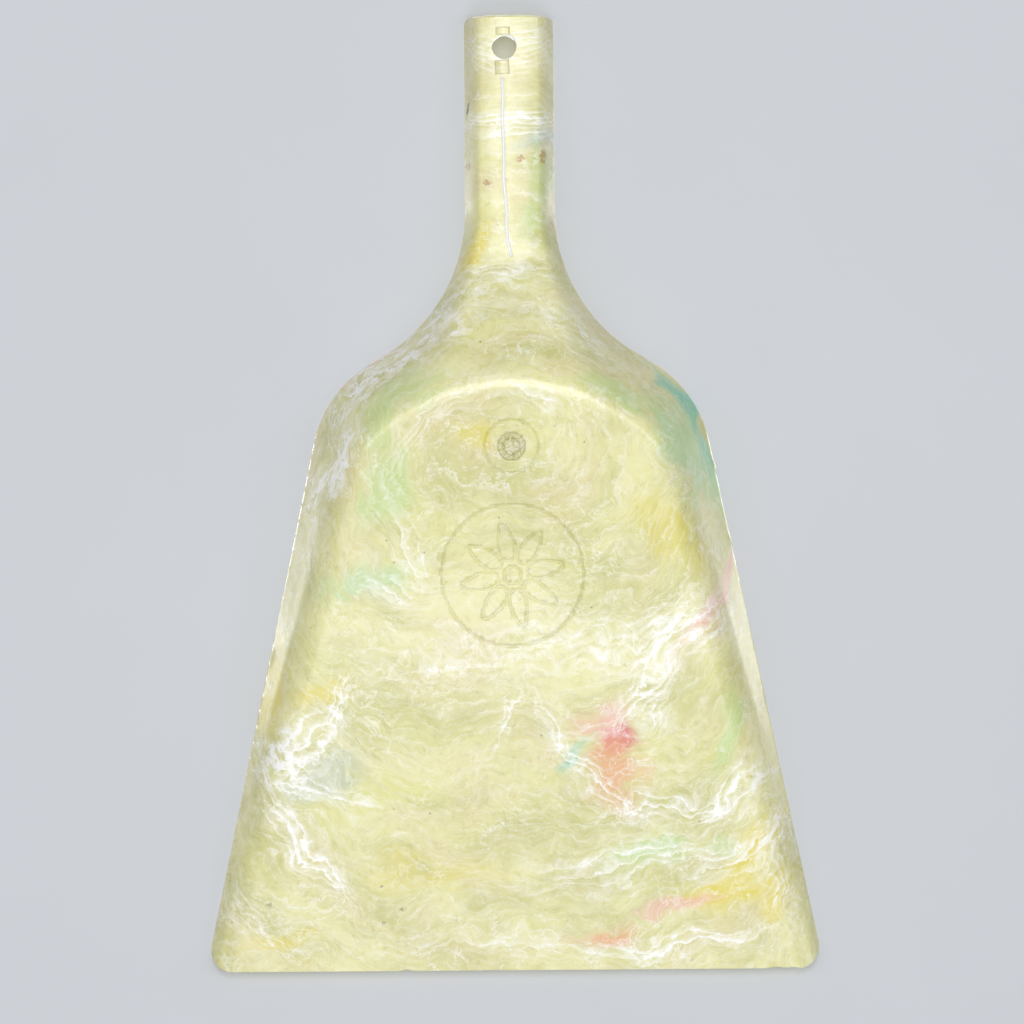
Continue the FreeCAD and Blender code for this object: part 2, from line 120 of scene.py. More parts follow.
def half_width(s, inset=0.0, end_inset=0.0):
    """Half width of the rim's outline, less an inset, at each distance from the mouth."""
    radius = SHOULDER_R - inset
    side = MOUTH_HALF - inset / math.cos(SIDE) - math.tan(SIDE) * s
    shoulder = SHOULDER_X + np.sqrt(np.maximum(radius ** 2 - (s - SHOULDER_S) ** 2, 0))
    neck = NECK_X - np.sqrt(np.maximum((NECK_R + inset) ** 2 - (s - NECK_S) ** 2, 0))
    tip = np.clip((s - (TIP_S - TIP_ROUND)) / (TIP_ROUND - end_inset), 0, 1)
    grip = (GRIP_HALF - inset) * (1 - tip ** 3) ** (1 / 3)
    ends = [s < SHOULDER_S + radius * math.sin(SIDE),
            s < SHOULDER_S + radius * math.sin(SPLIT),
            s < NECK_S]
    width = np.select(ends, [side, shoulder, neck], grip)
    corner_x = MOUTH_HALF - CORNER_R * (1 / math.cos(SIDE) + math.tan(SIDE))
    corner = corner_x + np.sqrt(np.maximum(CORNER_R ** 2 - (CORNER_R - s) ** 2, 0))
    in_corner = s < CORNER_R * (1 + math.sin(SIDE))
    return np.where(in_corner, np.minimum(width, corner), width)


def edge_distance(x, s):
    """How far inside the rim's outline a point lies, the mouth and the tip apart."""
    x = np.abs(x)
    side = (MOUTH_HALF - math.tan(SIDE) * s - x) * math.cos(SIDE)
    shoulder = SHOULDER_R - np.hypot(x - SHOULDER_X, s - SHOULDER_S)
    neck = np.hypot(x - NECK_X, s - NECK_S) - NECK_R
    turn = np.arctan2(s - SHOULDER_S, x - SHOULDER_X)
    return np.select([s > NECK_S, turn < SIDE, turn < SPLIT],
                     [GRIP_HALF - x, side, shoulder], neck)


def ease(t):
    """Runs from 0 to 1 with soft ends."""
    t = np.clip(t, 0, 1)
    return t * t * (3 - 2 * t)


def soft_min(a, b, reach):
    """The lower of two, rounded over a reach that shrinks to nothing at the rim."""
    reach = np.maximum(np.minimum(reach, np.maximum(a, b)), 1e-6)
    share = np.maximum(reach - np.abs(a - b), 0) / reach
    return np.minimum(a, b) - share ** 2 * reach / 4


def soft_max(a, b, reach):
    """The higher of two, rounded over a reach."""
    share = np.maximum(reach - np.abs(a - b), 0) / reach
    return np.maximum(a, b) + share ** 2 * reach / 4


def depth(x, s, cavity=False):
    """Depth below the rim's plane of the skin or of the cavity inside it."""
    inset = RIM if cavity else 0.0
    skin = WALL if cavity else 0.0
    neckness = ease((s - FLARE_S) / FLARE_LENGTH)
    slope = SIDE_SLOPE + (GRIP_SLOPE - SIDE_SLOPE) * neckness
    side = (edge_distance(x, s) - inset) * slope
    lip = LIP + (WALL - LIP) * ease(s / LIP_LENGTH) if cavity else 0.0
    floor = (RISE + s * SIN) / COS - lip
    bow = x ** 2 / (PAN_BOW + (GRIP_BOW - PAN_BOW) * neckness)
    ramp = ARCH_DEPTH - skin - RAMP_SLOPE * (s - ARCH_S)
    ramp = soft_max(GRIP_DEPTH - skin, ramp, RAMP_ROUND) - bow
    bend = PAN_BEND + (GRIP_BEND - PAN_BEND) * neckness - skin
    bowl = soft_min(side, soft_min(floor, ramp, ARCH_ROUND), bend)
    end_reach = TIP_ROUND - (END_WALL if cavity else 0.0)
    across = np.clip(np.abs(x) / (GRIP_HALF - inset), 0, 1)
    end = TIP_S - TIP_ROUND + end_reach * (1 - across ** 3) ** (1 / 3)
    return np.maximum(soft_min(bowl, (end - s) * END_SLOPE, END_ROUND), 0)


def to_frame(x, s, d):
    """Pan coordinates to the frame, in metres; the mouth's face stands upright."""
    shear = ease(s / MOUTH_TURN)
    y = MOUTH_Y + s * COS + d * SIN * shear
    z = RISE + s * SIN - d * COS
    return np.stack([x, y, z], axis=-1) * MM


# ---------------------------------------------------------------- mesh helpers
def stations(cavity):
    """Distances from the mouth of the sections, close together where the outline turns."""
    end = TIP_S - (END_WALL if cavity else 0.0)
    gap, corner_rows, tip_rows = (2.4, 12, 24) if cavity else (1.5, 18, 36)
    corner = CORNER_R * (1 + math.sin(SIDE))
    turn = 7.0                        # length of the close rows at the tip
    first = corner * (1 - np.cos(np.linspace(0, math.pi / 2, corner_rows)))
    last = end - turn + turn * np.sin(np.linspace(0, math.pi / 2, tip_rows))
    body = np.arange(corner + gap, end - turn - gap / 2, gap)
    return np.concatenate([first, body, last])


def section(s, columns, cavity):
    """Points across one section, evenly spaced along its curve."""
    half = float(half_width(np.array(s), *((RIM, END_WALL) if cavity else (0.0, 0.0))))
    fine = np.linspace(0, half, 500)
    deep = depth(fine, np.full_like(fine, s), cavity)
    along = np.concatenate([[0], np.cumsum(np.hypot(np.diff(fine), np.diff(deep)))])
    x = np.interp(np.linspace(0, along[-1], columns // 2 + 1), along, fine)
    return np.concatenate([-x[:0:-1], x])


def surface(columns, cavity):
    """A grid of points over the skin or the cavity, rows from mouth to tip."""
    rows = []
    for station in stations(cavity):
        x = section(station, columns, cavity)
        s = np.full_like(x, station)
        rows.append(to_frame(x, s, depth(x, s, cavity)))
    return np.array(rows)


def border(rows, columns, start):
    """Indices round a grid's edge: the front, one side, then back down the other."""
    front = [start + c for c in range(columns)]
    right = [start + r * columns + columns - 1 for r in range(1, rows)]
    left = [start + r * columns for r in range(rows - 2, 0, -1)]
    return front + right + left


def zip_loops(points, one, other):
    """Triangles that join two loops which start side by side and run the same way."""
    faces = []
    i = j = 0
    while i < len(one) or j < len(other):
        a, b = one[i % len(one)], other[j % len(other)]
        next_a, next_b = one[(i + 1) % len(one)], other[(j + 1) % len(other)]
        step_a = np.linalg.norm(points[next_a] - points[b])
        step_b = np.linalg.norm(points[a] - points[next_b])
        if j >= len(other) or (i < len(one) and step_a <= step_b):
            faces.append((a, next_a, b))
            i += 1
        else:
            faces.append((a, next_b, b))
            j += 1
    return faces


def grid_faces(rows, columns, start=0):
    """Four-sided faces between the points of a grid."""
    return [(start + r * columns + c, start + r * columns + c + 1,
             start + (r + 1) * columns + c + 1, start + (r + 1) * columns + c)
            for r in range(rows - 1) for c in range(columns - 1)]


def add_mesh(name, points, faces, weld=False):
    """An object with the given mesh, its faces turned outwards."""
    mesh = bpy.data.meshes.new(name)
    mesh.from_pydata([tuple(map(float, p)) for p in points], [], faces)
    fix = bmesh.new()
    fix.from_mesh(mesh)
    if weld:
        bmesh.ops.remove_doubles(fix, verts=fix.verts, dist=2e-6)
    bmesh.ops.recalc_face_normals(fix, faces=fix.faces)
    fix.to_mesh(mesh)
    fix.free()
    thing = bpy.data.objects.new(name, mesh)
    bpy.context.scene.collection.objects.link(thing)
    return thing


def new_piece(name, points, faces, material):
    """A smooth mesh piece that rides on the pan's one body."""
    piece = add_mesh(name, points, faces, weld=True)
    piece.data.shade_smooth()
    piece.data.materials.append(material)
    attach(piece, "root")
    return piece


def apply_modifiers(piece):
    """Bakes a piece's modifiers into its mesh."""
    graph = bpy.context.evaluated_depsgraph_get()
    mesh = bpy.data.meshes.new_from_object(piece.evaluated_get(graph))
    piece.modifiers.clear()
    piece.data = mesh


# ---------------------------------------------------------------- node helpers
class Nodes:
    """Adds shader nodes with their inputs in one call each."""

    def __init__(self, tree):
        self.tree = tree
        tree.nodes.clear()

    def add(self, kind, inputs=None, output=0, **settings):
        node = self.tree.nodes.new(kind)
        for key, value in settings.items():
            setattr(node, key, value)
        for key, value in (inputs or {}).items():
            self.put(node.inputs[key], value)
        return node.outputs[output] if node.outputs else None

    def put(self, socket, value):
        if isinstance(value, bpy.types.NodeSocket):
            self.tree.links.new(value, socket)
        else:
            socket.default_value = value

    def math(self, operation, *values, clamp=False):
        inputs = dict(enumerate(values))
        return self.add("ShaderNodeMath", inputs, operation=operation, use_clamp=clamp)

    def vector(self, operation, *values, output=0):
        return self.add("ShaderNodeVectorMath", dict(enumerate(values)), output,
                        operation=operation)

    def combine(self, x, y, z):
        return self.add("ShaderNodeCombineXYZ", {0: x, 1: y, 2: z})

    def noise(self, where, scale=1.0, detail=2.0, roughness=0.5, color=False):
        return self.add("ShaderNodeTexNoise",
                        {"Vector": where, "Scale": scale, "Detail": detail,
                         "Roughness": roughness}, 1 if color else 0)

    def ramp(self, value, low, high, start=0.0, end=1.0):
        """Runs smoothly from one value to another as the input goes from low to high."""
        return self.add("ShaderNodeMapRange",
                        {"Value": value, "From Min": low, "From Max": high,
                         "To Min": start, "To Max": end}, interpolation_type="SMOOTHSTEP")

    def mix(self, factor, one, other):
        node = self.tree.nodes.new("ShaderNodeMix")
        node.data_type = "RGBA"
        for socket, value in zip((0, 6, 7), (factor, one, other)):
            self.put(node.inputs[socket], value)
        return node.outputs[2]


def material_nodes(material):
    """An empty node tree for a material."""
    material.use_nodes = True
    return Nodes(material.node_tree)


def srgb(red, green, blue):
    """A colour given in the usual 0-255 numbers, as linear light."""
    def linear(value):
        value /= 255
        return value / 12.92 if value <= 0.04045 else ((value + 0.055) / 1.055) ** 2.4
    return (linear(red), linear(green), linear(blue), 1.0)


# ---------------------------------------------------------------- marbled plastic
GATE_S = 196.5                    # the melt enters here and spreads in fronts
SWIRL, SWIRL_PUSH = 38.0, 30.0    # size of the slow swirls, and how far they push
RIPPLE, RIPPLE_PUSH = 9.0, 7.0    # the same for the quick ones
CALM_FROM, CALM_TO = 270, 300     # from here on the patterns run straight along the grip
CALM = 0.35                       # what is left there of the swirls
FRONT_NARROW = 0.62               # how oval the fronts are
SIDE_AT_MOUTH = 118.0             # the fronts lag behind towards this line
SIDE_FALL = 0.211
SIDE_LAG = 34.0
FOLD_GAP = 6.5                    # between the broad white folds
HAIR_GAP = 2.7                    # between the fine ones
OLIVE = srgb(200, 197, 126)
CREAM = srgb(231, 226, 168)
LEMON = srgb(226, 224, 148)
SAND = srgb(222, 209, 156)
WHITE = srgb(250, 249, 244)
INK = srgb(72, 68, 48)
RUST = srgb(176, 128, 62)
YELLOW = srgb(224, 208, 58)
GOLD = srgb(226, 190, 84)
MINT = srgb(176, 214, 158)
GREEN = srgb(188, 216, 140)
TEAL = srgb(104, 196, 174)
AQUA = srgb(150, 206, 200)
PINK = srgb(236, 178, 168)
RED = srgb(212, 96, 100)
ORANGE = srgb(232, 168, 120)
BLUE = srgb(176, 200, 214)
PALE = srgb(240, 240, 204)
DRAB = srgb(178, 172, 108)
CRUMB = srgb(120, 96, 52)

# colour patches: u to the right seen from below, s from the mouth, half length, half
# width, direction of the length in degrees, colour, strength
PATCHES = [
    (64, 212, 20, 3.0, -62, TEAL, 0.8),
    (72, 194, 12, 4, -72, TEAL, 0.7),
    (84, 172, 22, 3.0, -72, AQUA, 0.78),
    (66, 192, 26, 10, -55, MINT, 0.72),
    (60, 165, 22, 8, -40, YELLOW, 0.45),
    (-50, 182, 18, 11, 60, GREEN, 0.62),
    (-54, 149, 18, 8, 10, MINT, 0.6),
    (-42, 212, 22, 8, 40, GREEN, 0.5),
    (44, 212, 16, 8, -20, GREEN, 0.5),
    (-14, 200, 7, 7, 0, YELLOW, 0.5),
    (41, 88, 9, 8, 30, RED, 1.0),
    (39, 76, 15, 12, 80, ORANGE, 0.78),
    (34, 96, 12, 8, 10, PINK, 0.78),
    (23, 80, 9, 3.5, 50, TEAL, 0.72),
    (78, 86, 14, 6, 75, GREEN, 0.6),
    (50, 44, 18, 8, 12, GREEN, 0.8),
    (82, 49, 9, 5, 10, GREEN, 0.6),
    (90, 44, 20, 8, 60, YELLOW, 0.91),
    (82, 30, 26, 6, 12, YELLOW, 0.85),
    (100, 24, 14, 6, 75, YELLOW, 0.78),
    (38, 14, 16, 3.5, 8, ORANGE, 0.78),
    (62, 24, 20, 3, 14, PINK, 0.65),
    (78, 140, 26, 4, 55, PINK, 0.72),
    (-94, 96, 26, 6, 72, YELLOW, 0.65),
    (-70, 106, 16, 6, 20, YELLOW, 0.59),
    (-88, 8, 16, 4, 0, YELLOW, 0.59),
    (-54, 64, 26, 8, 20, LEMON, 0.78),
    (-30, 34, 26, 8, -10, YELLOW, 0.39),
    (-13, 272, 16, 5, 65, YELLOW, 0.78),
    (10, 312, 10, 3.5, 20, BLUE, 0.65),
    (12, 296, 22, 5, 90, GREEN, 0.45),
    (2, 349, 8, 3, 90, GOLD, 0.39),
    (-52, 228, 16, 4, 30, PINK, 0.52),
    (20, 222, 10, 5, -20, SAND, 0.65),
    (-72, 70, 16, 10, 30, BLUE, 0.33),
]

# clusters of white streaks: u, s, half length, half width, direction, gap between lines,
# strength
CLUSTERS = [
    (-80, 84, 13, 9, 40, 5.0, 1.5),
    (-66, 98, 14, 5, 62, 3.2, 1.0),
    (-86, 76, 8, 6, -50, 4.0, 0.9),
    (-76, 66, 20, 3.5, -18, 3.6, 1.2),
    (-80, 46, 22, 4.5, -52, 3.0, 1.3),
    (-98, 20, 16, 9, -52, 3.4, 0.55),
    (-38, 160, 16, 4, -55, 4.0, 0.9),
    (-42, 146, 12, 5, -30, 4.0, 0.7),
    (49, 106, 13, 5, 58, 3.4, 1.5),
    (56, 98, 8, 5, 70, 3.0, 0.8),
    (-4, 92, 15, 2.6, 74, 3.4, 1.1),
    (14, 92, 12, 3.2, -70, 3.6, 1.0),
    (30, 72, 22, 4, -42, 3.2, 1.1),
    (62, 64, 26, 5, 6, 4.2, 1.1),
    (84, 70, 16, 5, 40, 3.6, 1.0),
    (40, 40, 40, 8, 12, 4.6, 0.8),
    (86, 44, 22, 6, 30, 4.6, 0.95),
    (102, 30, 26, 6, 100, 3.2, 0.6),
    (66, 10, 26, 4, 2, 3.6, 1.1),
    (0, 8, 60, 3.5, 2, 3.6, 0.5),
    (62, 126, 20, 11, 30, 4.4, 0.9),
    (0, 118, 60, 8, 2, 4.6, 0.4),
    (28, 126, 44, 8, 4, 3.8, 0.45),
    (-50, 222, 34, 5, 34, 3.4, 1.0),
    (-32, 206, 24, 4.5, 46, 2.6, 0.6),
    (-74, 178, 26, 3.6, 76, 3.2, 1.05),
    (-66, 196, 20, 3, 66, 3.2, 0.8),
    (8, 214, 12, 5, -35, 3.4, 0.7),
    (0, 262, 20, 7, 8, 3.0, 0.6),
    (22, 240, 26, 8, -30, 3.4, 0.45),
    (-26, 246, 26, 8, 36, 3.4, 0.5),
    (0, 319.5, 24, 3.0, 0, 1.7, 1.3),
    (2, 314, 20, 2.4, 4, 2.2, 0.7),
    (8, 349, 14, 8, 8, 2.2, 0.8),
    (-8, 346, 9, 7, -14, 2.2, 0.6),
]

# specks: the same numbers as the colour patches
SPECKS = [
    (-15.6, 324.6, 3.0, 0.5, 82, INK, 0.95),
    (4.2, 305.0, 1.7, 1.3, 40, RUST, 0.8),
    (12.8, 306.0, 1.3, 2.8, 0, RUST, 0.75),
    (-8.3, 296.0, 2.0, 1.2, -25, RUST, 0.7),
    (-15.6, 303.0, 1.3, 1.4, 0, RUST, 0.6),
    (-50.3, 31.6, 0.9, 0.7, 10, INK, 0.45),
    (-42.3, 22.5, 1.4, 0.9, 10, INK, 0.45),
    (-49.5, 17.6, 0.9, 0.8, 0, INK, 0.4),
    (-92.6, 24.8, 1.2, 0.9, 0, INK, 0.4),
]


def placed(nodes, where, u, s, length, width, angle):
    """How far across a stretched, turned patch a place lies, and a bell, 1 in its middle."""
    ahead = Vector((math.cos(math.radians(angle)), math.sin(math.radians(angle))))
    side = Vector((-ahead.y, ahead.x))
    middle = Vector((u, s))
    along, across = (nodes.vector("DOT_PRODUCT", where,
                                  (way.x / size, way.y / size, -way.dot(middle) / size),
                                  output=1)
                     for way, size in ((ahead, length), (side, width)))
    spread = nodes.math("MULTIPLY_ADD", along, along, nodes.math("MULTIPLY", across, across))
    return across, nodes.math("POWER", math.exp(-1), spread)


def saw(nodes, across, lines, back, power):
    """Lines with one sharp and one fading side, one for each whole number."""
    tooth = nodes.math("FRACT", nodes.math("MULTIPLY_ADD", across, -lines, back))
    return nodes.math("POWER", tooth, power)


def marble(name):
    """Mixed scrap plastic: cloudy olive and cream, colour patches and folded white streaks."""
    material = bpy.data.materials.new(name)
    nodes = material_nodes(material)
    position = nodes.vector("MULTIPLY", nodes.add("ShaderNodeTexCoord", output=3),
                            (1 / MM, 1 / MM, 1 / MM))
    u = nodes.vector("DOT_PRODUCT", position, (-1, 0, 0), output=1)
    s = nodes.math("ADD", nodes.vector("DOT_PRODUCT", position, (0, COS, SIN), output=1),
                   -MOUTH_Y * COS - RISE * SIN)
    deep = nodes.vector("DOT_PRODUCT", position, (0, SIN, -COS), output=1)
    height = nodes.vector("DOT_PRODUCT", position, (0, 0, 1), output=1)
    pan = nodes.combine(u, s, deep)

    # slow and quick swirls push every pattern about, less so along the grip
    calm = nodes.ramp(s, CALM_FROM, CALM_TO, 1.0, CALM)
    bent = pan
    for size, push, detail in ((SWIRL, SWIRL_PUSH, 2), (RIPPLE, RIPPLE_PUSH, 3)):
        swirl = nodes.noise(pan, 1 / size, detail, color=True)
        swirl = nodes.vector("SUBTRACT", swirl, (0.5, 0.5, 0.5))
        reach = nodes.vector("MULTIPLY", calm, (push, push, 0))
        bent = nodes.vector("MULTIPLY_ADD", swirl, reach, bent)

    # melt fronts: rings round the gate that lag behind along the sides
    split = nodes.add("ShaderNodeSeparateXYZ", {0: bent})
    bent_u = split
    bent_s = split.node.outputs[1]
    down = nodes.math("SUBTRACT", bent_s, GATE_S)
    wide = nodes.math("MULTIPLY", bent_u, FRONT_NARROW)
    ring = nodes.math("SQRT", nodes.math("ADD", nodes.math("MULTIPLY", down, down),
                                         nodes.math("MULTIPLY", wide, wide)))
    side = nodes.math("MULTIPLY_ADD", bent_s, -SIDE_FALL, SIDE_AT_MOUTH)
    share = nodes.math("DIVIDE", nodes.math("ABSOLUTE", bent_u), side)
    lag = nodes.math("MULTIPLY", nodes.math("POWER", share, 4.0), SIDE_LAG)
    front = nodes.math("MULTIPLY_ADD", height, 0.5, nodes.math("ADD", ring, lag))
    climb = nodes.math("ADD", s, height)

    def stretched(across, along, offset):
        """Pan coordinates squeezed across the fronts, for patterns that run along them."""
        return nodes.combine(nodes.math("MULTIPLY_ADD", front, 1 / across, offset),
                             nodes.math("DIVIDE", u, along),
                             nodes.math("DIVIDE", climb, along))

    clouds = nodes.noise(stretched(22, 40, 3), 1, 4, 0.55)
    drift = nodes.noise(stretched(14, 30, 11), 1, 4, 0.55)
    sandy = nodes.noise(stretched(26, 44, 23), 1, 3, 0.55)
    grain = nodes.noise(stretched(3.2, 8, 31), 1, 5, 0.65)

    color = nodes.mix(nodes.ramp(clouds, 0.34, 0.66, 0.05, 0.95), OLIVE, CREAM)
    color = nodes.mix(nodes.ramp(drift, 0.44, 0.7, 0, 0.45), color, LEMON)
    color = nodes.mix(nodes.ramp(sandy, 0.48, 0.7, 0, 0.6), color, SAND)
    color = nodes.mix(nodes.ramp(grain, 0.5, 0.8, 0, 0.25), color, PALE)
    color = nodes.mix(nodes.ramp(grain, 0.48, 0.26, 0, 0.25), color, DRAB)

    # small mottling, from pea-sized clouds down to fibres
    mottle = nodes.noise(bent, 1 / 3.2, 5, 0.75)
    color = nodes.mix(nodes.ramp(mottle, 0.5, 0.74, 0, 0.45), color, PALE)
    color = nodes.mix(nodes.ramp(mottle, 0.48, 0.28, 0, 0.4), color, DRAB)
    fibre = nodes.noise(stretched(0.9, 5, 83), 1, 4, 0.7)
    fibre = nodes.math("MULTIPLY", nodes.ramp(fibre, 0.54, 0.74, 0, 0.5),
                       nodes.ramp(drift, 0.62, 0.4, 0.15, 1))
    color = nodes.mix(fibre, color, PALE)

    # colour patches, torn along the fronts
    tear = nodes.noise(stretched(7, 22, 47), 1, 3, 0.6)
    flat = nodes.vector("MULTIPLY_ADD", bent, (1, 1, 0), (0, 0, 1))
    torn = nodes.ramp(tear, 0.25, 0.6, 0.45, 1.25)
    for *row, tone, strength in PATCHES:
        _, mask = placed(nodes, flat, *row)
        factor = nodes.ramp(nodes.math("MULTIPLY", mask, torn), 0.12, 1.0, 0, strength)
        color = nodes.mix(factor, color, tone)

    # folded white streaks, sharp on one side and fading on the other
    swing = nodes.noise(stretched(16, 24, 71), 1, 4, 0.55)
    flick = nodes.noise(bent, 1 / 5, 4, 0.6)
    back = nodes.math("MULTIPLY_ADD", flick, -1.3, nodes.math("MULTIPLY", swing, -3.2))
    back = nodes.math("MULTIPLY_ADD", height, 0.13, nodes.math("MULTIPLY", back, calm))
    patchy = nodes.noise(stretched(9, 16, 61), 1, 4, 0.6)
    haze = nodes.ramp(nodes.noise(stretched(5, 10, 97), 1, 6, 0.68), 0.42, 0.72)
    broad = nodes.math("MULTIPLY", saw(nodes, front, 1 / FOLD_GAP, back, 5.0),
                       nodes.ramp(patchy, 0.4, 0.66))
    hair = nodes.math("MULTIPLY", saw(nodes, front, 1 / HAIR_GAP, back, 4.0),
                      nodes.ramp(patchy, 0.56, 0.36))
    white = nodes.math("ADD", nodes.math("MULTIPLY", broad, 0.45),
                       nodes.math("ADD", nodes.math("MULTIPLY", hair, 0.28),
                                  nodes.math("MULTIPLY", haze, 0.12)))
    vein = nodes.noise(bent, 1 / 13, 6, 0.62)
    vein = nodes.ramp(nodes.math("ABSOLUTE", nodes.math("SUBTRACT", vein, 0.5)), 0.02, 0.0)
    vein = nodes.math("MULTIPLY", vein, nodes.ramp(nodes.noise(pan, 1 / 30, 4, 0.6), 0.4, 0.6))
    white = nodes.math("ADD", white, nodes.math("MULTIPLY", vein, 0.45))
    veil = nodes.math("MULTIPLY", haze, 0.75)
    for *row, spacing, strength in CLUSTERS:
        across, mask = placed(nodes, flat, *row)
        stripe = saw(nodes, across, row[3] / spacing, back, 3.5)
        body = nodes.math("MULTIPLY", mask, nodes.math("ADD", veil, stripe))
        white = nodes.math("MULTIPLY_ADD", body, strength, white)
    white = nodes.math("MULTIPLY", white, 1.0, clamp=True)
    color = nodes.mix(white, color, WHITE)

    # single specks and a few dark crumbs
    still = nodes.vector("MULTIPLY_ADD", pan, (1, 1, 0), (0, 0, 1))
    crumbly = nodes.ramp(nodes.noise(pan, 1 / 1.1, 3, 0.6), 0.36, 0.62, 0.25, 1.3)
    for *row, tone, strength in SPECKS:
        _, mask = placed(nodes, still, *row)
        mask = nodes.math("MULTIPLY", mask, crumbly)
        color = nodes.mix(nodes.ramp(mask, 0.15, 0.75, 0, strength), color, tone)
    crumbs = nodes.add("ShaderNodeTexVoronoi", {"Vector": pan, "Scale": 1 / 13})
    color = nodes.mix(nodes.ramp(crumbs, 0.045, 0.02, 0, 0.5), color, CRUMB)

    # stains and chalky whitening set on the small pieces, with painted shade in the scar's
    # folds and a painted highlight along the seam
    stain_and_shade = nodes.add("ShaderNodeAttribute", attribute_name="stain_and_shade",
                      attribute_type="GEOMETRY")
    chalk_and_highlight = nodes.add("ShaderNodeAttribute", output=2, attribute_name="chalk_and_highlight",
                      attribute_type="GEOMETRY")
    kept = nodes.vector("SUBTRACT", (1, 1, 1), stain_and_shade)
    color = nodes.vector("MULTIPLY", color, kept)
    color = nodes.mix(chalk_and_highlight, color, WHITE)

    # gloss with soft dulling and a light orange peel
    dull = nodes.noise(pan, 1 / 24, 3, 0.6)
    rough = nodes.ramp(dull, 0.3, 0.7, 0.24, 0.38)
    peel = nodes.noise(pan, 1 / 5, 2, 0.5)
    relief = nodes.math("ADD", nodes.math("MULTIPLY", peel, 0.06),
                        nodes.math("MULTIPLY", white, 0.02))
    bump = nodes.add("ShaderNodeBump", {"Strength": 0.5, "Distance": MM, "Height": relief})
    shader = nodes.tree.nodes.new("ShaderNodeBsdfPrincipled")
    for key, value in {"Base Color": color, "Roughness": rough, "Normal": bump,
                       "IOR": 1.5, "Subsurface Weight": 0.2, "Subsurface Scale": 0.002,
                       "Coat Weight": 0.5, "Coat Roughness": 0.14}.items():
        nodes.put(shader.inputs[key], value)
    shader.inputs["Subsurface Radius"].default_value = (1.0, 0.9, 0.6)
    nodes.add("ShaderNodeOutputMaterial", {"Surface": shader.outputs[0]})
    return material


# ---------------------------------------------------------------- the pan
def hole_cutter():
    """A slightly uneven prism square to the rim, for the punched hanging hole."""
    steps = 48
    turn = 2 * math.pi * np.arange(steps) / steps
    radius = HOLE_R * (1 + 0.03 * np.cos(2 * turn + 1) + 0.025 * np.cos(3 * turn - 0.6))
    x = HOLE_X + radius * np.cos(turn)
    s = HOLE_S + radius * np.sin(turn)
    above, below = -4.0, GRIP_DEPTH + 6.0
    rims = [to_frame(x, s, np.full_like(x, deep)) for deep in (above, below)]
    points = np.stack(rims, axis=1).reshape(-1, 3)
    faces = [(2 * i, 2 * i + 1, 2 * j + 1, 2 * j)
             for i, j in zip(range(steps), [*range(1, steps), 0])]
    faces += [tuple(range(side, 2 * steps, 2)) for side in (0, 1)]
    return add_mesh("hole_cutter", points, faces)


# small flaws of the rim: side, s, how long, how far out
BUMPS = [
    (-1, 231.5, 1.8, 0.55),
    (-1, 188.8, 1.6, 0.45),
    (-1, 160.5, 1.8, 0.4),
    (1, 118.0, 2.4, 0.2),
]
# chips in the mouth's edge: u, how long, how deep
CHIPS = [
    (99, 3.2, 0.6),
    (105, 2.0, 0.45),
    (-41, 1.6, 0.6),
    (-8, 3.0, 0.15),
]


def wear(points):
    """Pushes the rim out at its bumps and nibbles the mouth's edge."""
    worn = points.copy()
    x, y, z = points.T / MM
    s = (y - MOUTH_Y) * COS + (z - RISE) * SIN
    deep = (y - MOUTH_Y) * SIN - (z - RISE) * COS
    near_rim = ease(1 - deep / 4)
    for side, at, length, push in BUMPS:
        swell = push * np.exp(-((s - at) / length) ** 2) * near_rim
        worn[:, 0] += np.where(x * side > 0, side * swell, 0) * MM
    for u, length, bite in CHIPS:
        nick = bite * np.exp(-((-x - u) / length) ** 2) * ease(1 - s / 1.5)
        worn[:, 1] += nick * MM
    return worn


# shallow marks on the floor's middle line
GATE_U = 0.0
GATE_RING = 10.4
SCAR_R = 5.2
BADGE_S = 148.5
BADGE_R = 27.0
MARK_WIDTH = 0.8
MARK_DEPTH = 0.3
PETALS = 8
PETAL_TURN = 0.2                  # turns the flower a little off the middle line
PETAL_MIDDLE = 12.5               # from the flower's middle to a petal's
PETAL_LENGTH = 14.0
PETAL_WIDTH = 6.0
FLOWER_WIDTH = 0.85
FLOWER_DEPTH = 0.45
EYE_R = 3.2


def circle(u, s, radius, steps=120):
    """A closed path of u and s."""
    turn = np.linspace(0, 2 * math.pi, steps, endpoint=False)
    return np.stack([u + radius * np.cos(turn), s + radius * np.sin(turn)], axis=1)


def petal(u, s, angle):
    """A slim leaf that points away from the badge's middle."""
    turn = np.linspace(0, 2 * math.pi, 44, endpoint=False)
    along = PETAL_MIDDLE + PETAL_LENGTH / 2 * np.cos(turn)
    across = PETAL_WIDTH / 2 * np.sin(turn) * (1 - 0.35 * np.cos(turn))
    return np.stack([u + along * math.cos(angle) - across * math.sin(angle),
                     s + along * math.sin(angle) + across * math.cos(angle)], axis=1)


def sideways(path, closed):
    """Unit vectors square to a path of u and s."""
    if closed:
        ahead = np.roll(path, -1, axis=0) - np.roll(path, 1, axis=0)
    else:
        ahead = np.gradient(path, axis=0)
    ahead = ahead / np.linalg.norm(ahead, axis=1)[:, None]
    return np.stack([-ahead[:, 1], ahead[:, 0]], axis=1)


def on_skin(path, offset, raised):
    """Frame points beside a path of u and s, so much outside the skin."""
    x = -path[:, 0] - offset[:, 0]
    s = path[:, 1] + offset[:, 1]
    return to_frame(x, s, depth(x, s) + raised)


